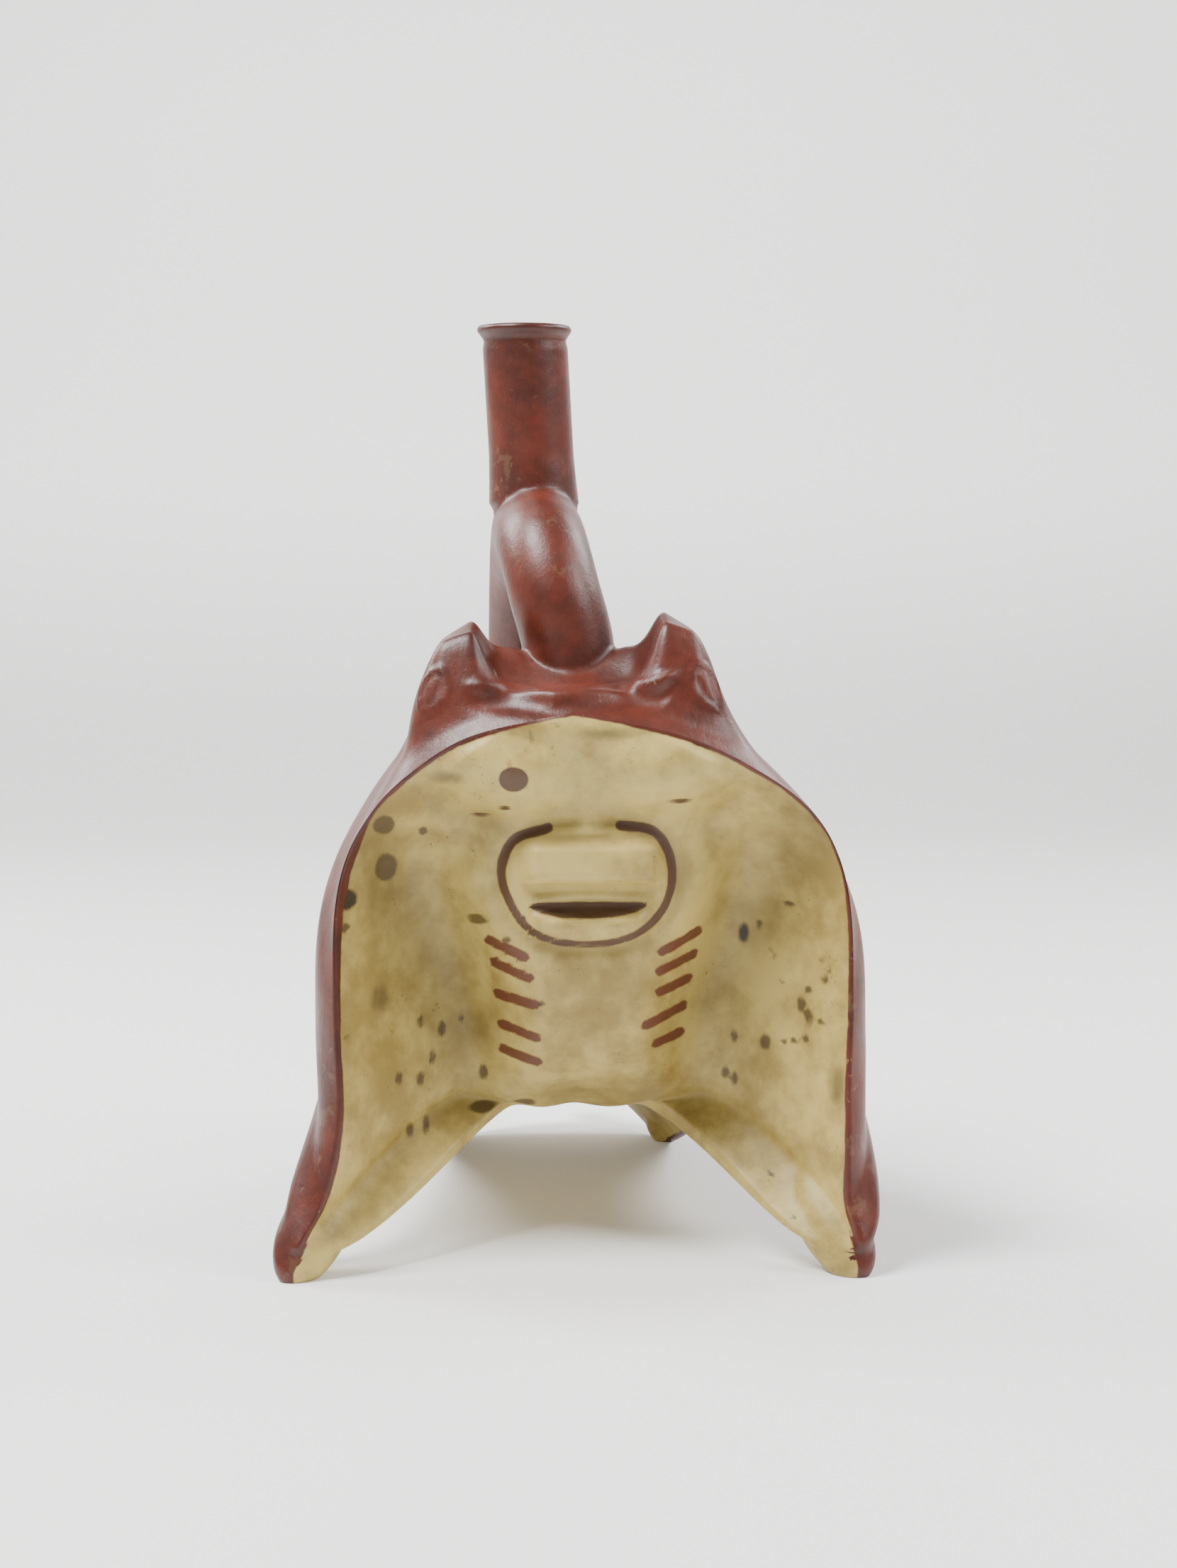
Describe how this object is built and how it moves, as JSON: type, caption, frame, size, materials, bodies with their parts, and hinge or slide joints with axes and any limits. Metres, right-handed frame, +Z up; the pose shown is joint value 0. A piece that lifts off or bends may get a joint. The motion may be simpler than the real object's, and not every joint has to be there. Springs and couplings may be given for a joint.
{
  "type": "stirrup spout vessel",
  "caption": "Hollow fired-clay bottle modelled as a ray that stands on its fin tips, with a stirrup handle and a flared tubular spout.",
  "frame": {"origin": "on the floor, below the middle of the outline", "axes": "+Z up along the spout, -Y towards the face and the pale underside, +X to the right of one who looks at the face"},
  "size_m": [0.1448, 0.1848, 0.228],
  "materials": {
    "clay": "satin"
  },
  "bodies": {
    "root": {"vessel": "clay"}
  },
  "joints": []
}
